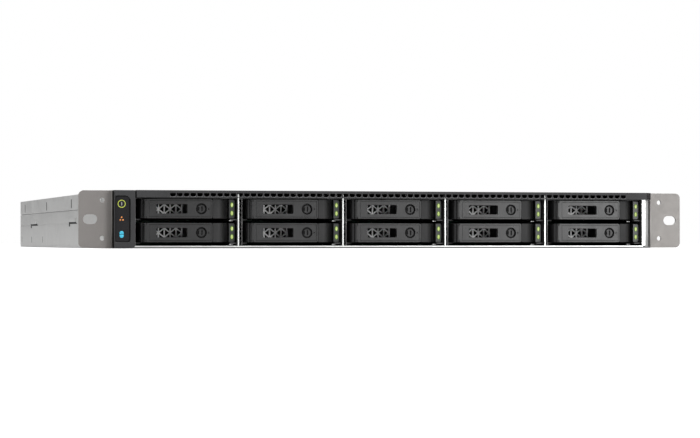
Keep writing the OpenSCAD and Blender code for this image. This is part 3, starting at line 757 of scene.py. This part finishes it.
def cage_tabs():
    """Bent ends of the ledges, a pair by each tray's lights, and the folded edge of each strip; the first
    tab of each pair is pale, a painted glint.
    The pairs stand a little further from their divider from column to column."""
    build = Build()
    for n in TRAYS:
        corner = low(f"tray_{n}")
        left = corner.x + 68.8 - 1.5 * ((n - 1) % COLUMNS)
        for shade, x0, x1 in ((0, left, left + 1.1), (1, left + 1.5, left + 2.4)):
            # The first tab of each pair takes the pale painted glint
            build.paint(shade)
            build.prism(rounded(x0, x1, corner.z - 2.0, corner.z - 1.5, 0.2, 3), "y", 1.4, 3.2)
    cage = low("bay_cage")
    build.paint(1)
    for n in TRAYS[:COLUMNS]:
        x = low(f"tray_{n}").x - 2.5
        fold = [(x - 0.55, 6.95), (x - 0.55, 6.6), *arc((x - 0.2, 6.35), 0.35, 180, 270, 4),
                (x + 0.1, 6.0), (x + 0.1, 6.95)]
        build.prism(fold, "z", cage.z + 1, cage.z + 36.4)
    build.piece("cage_tabs", "root", "cage_steel", tab_painted_glint, fold_grey, bevel=0.06)


def button_rims():
    """Painted shadow: a dark band round each release button's dished face, wider on one side where the rim's
    shadow falls.
    """
    build = Build()
    face = low("lever_1").y
    outer = oval(*BUTTON, 3.5, 3.5, 40)
    inner = oval(BUTTON[0] + 0.25, BUTTON[1] - 0.1, 2.85, 2.85, 40)
    build.band(outer, inner, face + 1.22, face + 1.4)
    # The band is painted shadow
    build.on_trays("button_rim", "release_button", "button_plastic", painted_shade_black, bevel=0.04)


def recess_rim():
    """Shadow band along the foot of the control panel's recess."""
    panel = low("control_panel")
    base = low("chassis_base").z
    x0, x1, z0, z1 = panel.x + 0.75, -203.4, base + 4.5, base + 39.5
    build = Build()
    outer = rounded(x0, x1, z0, z1, 2.6, 6)
    inner = rounded(x0 + 0.5, x1 - 0.9, z0 + 0.6, z1 - 0.9, 2.0, 6)
    build.band(outer, inner, panel.y + 0.95, panel.y + 1.22)
    build.piece("recess_rim", "root", "bezel_plastic", painted_shade_black, bevel=0.05)


def power_mark():
    """Upright bar on the power button."""
    low_corner, high_corner = low("power_button"), high("power_button")
    x, z = (low_corner.x + high_corner.x) / 2, (low_corner.z + high_corner.z) / 2
    build = Build()
    build.prism(rounded(x - 0.42, x + 0.42, z - 1.25, z + 1.25, 0.4, 5), "y",
                low_corner.y - 0.12, low_corner.y + 0.3)
    build.piece("power_mark", "power_button", "button_plastic", mark_grey, bevel=0.05)


def ear_bends():
    """Outer radius where each ear is folded back along the chassis: a painted highlight on the right, the
    left ear's darker painted-shade grey on the left.
    """
    for side, sign in (("left", -1), ("right", 1)):
        ear_low, ear_high = low(f"{side}_ear"), high(f"{side}_ear")
        middle, radius = 216.25 * sign, 0.5
        build = Build()
        build.prism(arc((middle, 0.06), radius, 180, 360, 6), "z",
                    ear_low.z + 0.3, ear_high.z - 0.3)
        # The right bend takes the lighter edge copy, painted highlight; the left one the left ear's painted
        # shade
        build.piece(f"{side}_ear_bend", "root", "ear_steel", ear_left_painted_shade if sign < 0 else ear_edge_wear_and_highlight,
                    bevel=0)


def slot_shades():
    """Painted shade: dark plates in the slots of both side walls and of the cover's flanges, standing in for
    the shade inside them.
    """
    ground = low("chassis_base").z
    walls, cover = Build(), Build()
    for sign in (-1, 1):
        inner, sunk = 216.2 * sign, 216.84 * sign
        for y0, y1 in WALL_SLOTS:
            step = y1 - 7.6
            walls.prism([(y0 - 0.6, ground + 19.0), (step, ground + 19.0), (step, ground + 17.0),
                         (y1 + 0.6, ground + 17.0), (y1 + 0.6, ground + 21.4), (y0 - 0.6, ground + 21.4)],
                        "x", inner, sunk)
        for y in WALL_SLITS:
            walls.prism(rounded(y - 0.5, y + 1.4, ground + 3.6, ground + 9.9, 0.4, 3), "x", inner, sunk)
            walls.prism(rounded(y - 0.6, y + 1.2, ground + 4, ground + 9.5, 0.3, 3), "x",
                        216.9 * sign, 217.03 * sign)
        for y in COVER_SLOTS:
            cover.prism(rounded(y - 1.4, y + 2.4, ground + 32.8, ground + 40.2, 0.5, 3), "x",
                        inner, 217.04 * sign)
    # The plates are painted shade
    walls.piece("wall_slot_shades", "root", "sheet_steel", painted_shade_black, bevel=0.05)
    cover.piece("cover_slot_shades", "top_cover", "sheet_steel", painted_shade_black, bevel=0.05)


# ------------------------------------------------------------ inside a tray

def drive_details():
    """Stamped lid with its raised rings, lid screws and rail screws of the drive in each tray."""
    build = Build()
    x0, x1, y0, y1, top = 2.15, 71.45, 21.4, 120.8, 10.7
    spindle = ((x0 + x1) / 2, y0 + 36, top)
    build.prism(rounded(x0 + 1.2, x1 - 1.2, y0 + 1.2, y1 - 1.2, 2.5), "z", top - 0.1, top + 0.25)
    build.turned([(29, 0), (29, 0.45), (28, 0.6), (26.5, 0.6), (25.8, 0.3), (0.5, 0.3)],
                 spindle, steps=64)
    build.turned([(7, 0.2), (7, 0.75), (6, 0.9), (0.5, 0.9)], spindle)
    build.paint(1)
    for x in (x0 + 4.5, x1 - 4.5):
        for y in (y0 + 5, y0 + 46, y1 - 6):
            build.turned([(2, 0.2), (2, 0.55), (1.6, 0.75), (0.9, 0.75), (0.85, 0.4), (0.2, 0.4)],
                         (x, y, top), steps=20)
    for x, sign in ((-0.05, 1), (73.65, -1)):
        for y in (35, 97.6):
            build.turned([(2.2, 0), (2.2, 0.35 * sign), (0.3, 0.5 * sign)], (x, y, 3.0), axis="x", steps=20)
    build.on_trays("drive_lid", "tray", "tray_plastic", drive_metal, screw_steel, bevel=0.08)


# ------------------------------------------------------------- rear pieces

def port_insides():
    """Contacts and tongues inside the network, fibre and USB ports."""
    wall = high("chassis_base").y
    floor = low("io_ports").z
    network, fibre, usb = (-188, -168, -148), (-124, -106), (-86, -69, -52)
    contacts = Build()
    tongues = Build()
    lamps_on_ports = Build()
    for x in network:
        tongues.box((x + 2.4, wall - 18, floor + 2.4), (x + 13.6, wall - 9, floor + 4.2))
        for k in range(8):
            left = x + 4.1 + k * 1.02
            contacts.prism([(wall - 17, floor + 10.6), (wall - 8, floor + 10.6), (wall - 8, floor + 10.2),
                            (wall - 16, floor + 6.2), (wall - 17, floor + 6.2)], "x", left, left + 0.45)
        for px in (x + 2.2, x + 11.2):
            lamps_on_ports.box((px, wall - 1.4, floor + 11.7), (px + 2.6, wall - 0.05, floor + 12.7))
    for x in usb:
        tongues.box((x + 1.4, wall - 14, floor + 3.0), (x + 11.7, wall - 3.4, floor + 4.6))
        for k in range(4):
            left = x + 2.5 + k * 2.2
            contacts.box((left, wall - 13, floor + 2.8), (left + 1.1, wall - 3.8, floor + 3.05))
    for x in fibre:
        for k in range(3):
            left = x + 3 + k * 3.6
            contacts.prism([(wall - 10, floor + 0.9), (wall - 2.2, floor + 0.9), (wall - 4, floor + 1.5),
                            (wall - 8, floor + 1.5)], "x", left, left + 2.2)
    contacts.piece("port_contacts", "root", "port_metal", gold, bevel=0.05)
    tongues.piece("port_tongues", "root", "button_plastic", contact_blue, bevel=0.15)
    lamps_on_ports.piece("port_lamps", "root", "light_lens", lamp_rim, bevel=0.1)


def supply_insides():
    """Inlet pins, cooling fan and status lamp of each power supply."""
    for n in SUPPLIES:
        body = f"psu_{n}"
        start, back = low(body), supply_back(n)
        pins = Build()
        middle = start.x + 20.5
        for dx, dz in ((-7, -1.6), (7, -1.6), (0, 2.6)):
            x, z = middle + dx, start.z + 17.7 + dz
            pins.prism(rounded(x - 1.0, x + 1.0, z - 2.0, z + 2.0, 0.5, 3), "y", back - 19.5, back - 4)
        pins.piece(f"inlet_pins_{n}", body, "port_metal", port_tin, bevel=0.3)
        fan = Build()
        centre = (start.x + 54, 0, start.z + 19.7)
        fan.turned([(7, back - 16), (7.4, back - 15), (7.4, back - 4.4),
                    (6.4, back - 3.4), (0.3, back - 3.2)], centre, axis="y")
        blades = 9
        for k in range(blades):
            blade(fan, centre, 2 * math.pi * k / blades, 7.2, 16.6, back - 14.5, back - 5.5)
        fan.piece(f"supply_fan_{n}", body, "fan_plastic", fan_black, bevel=0)
        lamp = Build()
        lamp.turned([(1.5, back - 0.5), (1.5, back + 0.35), (1.1, back + 0.6), (0.1, back + 0.7)],
                    (start.x + 10.5, 0, start.z + 33), axis="y", steps=24)
        lamp.piece(f"supply_lamp_{n}", body, "light_lens", lamp_core, bevel=0)


def blade(build, centre, angle, inner, outer, front, rear):
    """One curved, twisted fan blade about the Y axis."""
    bm = build.bm
    grid = []
    for i in range(6):
        radius = inner + (outer - inner) * i / 5
        row = []
        for j in range(6):
            t = j / 5
            sweep = angle + (t - 0.5) * 0.75 + 0.12 * math.sin(math.pi * i / 5)
            y = front + (rear - front) * t
            for offset in (0, 0.5):
                row.append(bm.verts.new((centre[0] + radius * math.cos(sweep + offset / radius),
                                         y, centre[2] + radius * math.sin(sweep + offset / radius))))
        grid.append(row)
    faces = []
    for i in range(5):
        for j in range(5):
            for side in (0, 1):
                quad = [grid[i][2 * j + side], grid[i + 1][2 * j + side],
                        grid[i + 1][2 * j + 2 + side], grid[i][2 * j + 2 + side]]
                faces.append(bm.faces.new(quad))
        for j in (0, 10):
            faces.append(bm.faces.new((grid[i][j], grid[i][j + 1], grid[i + 1][j + 1], grid[i + 1][j])))
    for row in (grid[0], grid[-1]):
        for j in range(5):
            faces.append(bm.faces.new((row[2 * j], row[2 * j + 1], row[2 * j + 3], row[2 * j + 2])))
    build.stamp(faces)


# ------------------------------------------------------------ inside pieces

def board_parts():
    """Capacitors, chips, sockets, connectors and a coin cell on the main board."""
    build = Build()
    top = low("motherboard").z + 8.6
    rng = random.Random(11)
    for row in range(2):
        for k in range(7):
            build.turned([(3, 0), (3, 7.2), (2.6, 7.8), (0.4, 7.8)],
                         (-118 + k * 8.2, 222 + row * 9, top), steps=20)
    for k in range(9):
        build.turned([(2.4, 0), (2.4, 5.4), (2.0, 5.9), (0.3, 5.9)], (-24 + k * 6.4, 262, top), steps=18)
    build.turned([(10, 0), (10, 2.6), (9.4, 3.2), (0.4, 3.2)], (30, 515, top), steps=40)
    build.paint(1)
    chips = ((-195, 230, 18, 18, 1.6), (-150, 420, 24, 24, 2.2), (-60, 500, 14, 20, 1.4),
             (-190, 470, 16, 16, 1.5))
    connectors = ((-20, 400, 72, 7.5, 9), (-20, 418, 72, 7.5, 9), (-205, 340, 8, 42, 8),
                  (-118, 500, 34, 12, 4))
    for x, y, width, depth, height in chips + connectors:
        build.box((x, y, top), (x + width, y + depth, top + height))
    build.paint(2)
    for _ in range(150):
        x, y = rng.uniform(-200, 48), rng.uniform(214, 524)
        under_heatsink = -170 < x < -90 and 314 < y < 396
        under_memory = -78 < x < -30 and 296 < y < 446
        if under_heatsink or under_memory:
            continue
        width, depth = rng.choice(((1.6, 0.8), (0.8, 1.6), (3.2, 1.6), (2.0, 1.2)))
        build.box((x, y, top), (x + width, y + depth, top + 0.7))
    build.piece("board_parts", "root", "circuit_board", can_grey, chip_black, gold, bevel=0.12)


def heatsink_screws():
    """A sprung screw at each corner of the heat sink."""
    corner = low("cpu_heatsink")
    build = Build()
    for dx in (3.5, 66.5):
        for dy in (3.5, 66.5):
            at = (corner.x + dx, corner.y + dy, corner.z)
            build.turned([(1.4, 5), (1.4, 27), (3.1, 27.2), (3.1, 29.6), (2.7, 30), (0.4, 30)], at, steps=24)
            for k in range(7):
                build.turned([(2.1, 7 + k * 2.8), (2.6, 7.5 + k * 2.8), (2.1, 8 + k * 2.8)], at, steps=20)
    build.piece("heatsink_screws", "root", "screw_steel", screw_steel, bevel=0.1)


# ------------------------------------------------------------------- stage

def stage():
    """Pale floor just under the unit, in metres."""
    ground = low("chassis_base").z * MM - 0.0002
    side, front, rear = 2.8, -2.8, 1.9
    corners = [(-side, front, ground), (side, front, ground), (side, rear, ground), (-side, rear, ground)]
    mesh = bpy.data.meshes.new("floor")
    mesh.from_pydata(corners, [], [(0, 1, 2, 3)])
    floor = bpy.data.objects.new("floor", mesh)
    bpy.context.scene.collection.objects.link(floor)
    g = Graph("floor_white")
    g.link(g.ramp(g.noise(3), (0.3, 0.93), (0.7, 0.95)), g.shader.inputs["Base Color"])
    g.link(g.rescale(g.noise(8), 0.85, 0.95), g.shader.inputs["Roughness"])
    g.set(Specular_IOR_Level=0.1)
    mesh.materials.append(g.material)


def softbox(name, place, aim, size, power):
    """A white area light at a place, turned to what it aims at, in metres and watts."""
    light = bpy.data.lights.new(name, "AREA")
    light.shape = "RECTANGLE"
    light.size, light.size_y = size
    light.energy = power
    lamp = bpy.data.objects.new(name, light)
    bpy.context.scene.collection.objects.link(lamp)
    lamp.location = place
    lamp.rotation_euler = (Vector(aim) - Vector(place)).to_track_quat("-Z", "Y").to_euler()


def lights():
    """Soft studio light, an even room and a white backdrop for the camera alone."""
    softbox("overhead", (-0.2, -0.7, 2.0), (-0.2, -0.45, 0), (3.0, 2.8), 70)
    softbox("right_front", (1.35, -2.3, 0.5), (0, 0, 0), (0.9, 1.1), 35)
    softbox("left_side", (-1.2, -0.6, 0.4), (-0.22, 0.02, 0), (0.6, 0.6), 4)
    softbox("rear", (0.4, 2.6, 1.2), (0, 0.5, 0), (2.2, 1.2), 22)
    world = bpy.data.worlds.new("studio")
    bpy.context.scene.world = world
    world.use_nodes = True
    tree = world.node_tree
    tree.nodes.clear()
    room, backdrop = tree.nodes.new("ShaderNodeBackground"), tree.nodes.new("ShaderNodeBackground")
    room.inputs["Color"].default_value = backdrop.inputs["Color"].default_value = rgba(1.0)
    room.inputs["Strength"].default_value = 0.45
    rays, mix = tree.nodes.new("ShaderNodeLightPath"), tree.nodes.new("ShaderNodeMixShader")
    tree.links.new(rays.outputs["Is Camera Ray"], mix.inputs[0])
    tree.links.new(room.outputs[0], mix.inputs[1])
    tree.links.new(backdrop.outputs[0], mix.inputs[2])
    tree.links.new(mix.outputs[0], tree.nodes.new("ShaderNodeOutputWorld").inputs["Surface"])
    bpy.context.scene.view_settings.view_transform = "Standard"


def camera():
    """The photograph's view: from the front left, level with the unit's underside."""
    data = bpy.data.cameras.new("camera")
    data.sensor_width = 36
    data.lens = 119.7
    data.clip_start = 0.01
    view = bpy.data.objects.new("camera", data)
    bpy.context.scene.collection.objects.link(view)
    view.location = (-0.495, -1.7291, 0.0055 + low("chassis_base").z * MM)
    view.rotation_euler = (math.radians(90.54), 0, math.radians(-15))
    bpy.context.scene.camera = view


dress_chassis()
dress_bezel()
dress_trays()
dress_inside()
dress_supplies()
vent_lips()
lamp_plates()
lamps()
cage_tabs()
button_rims()
recess_rim()
power_mark()
ear_bends()
slot_shades()
drive_details()
port_insides()
supply_insides()
board_parts()
heatsink_screws()
stage()
lights()
camera()
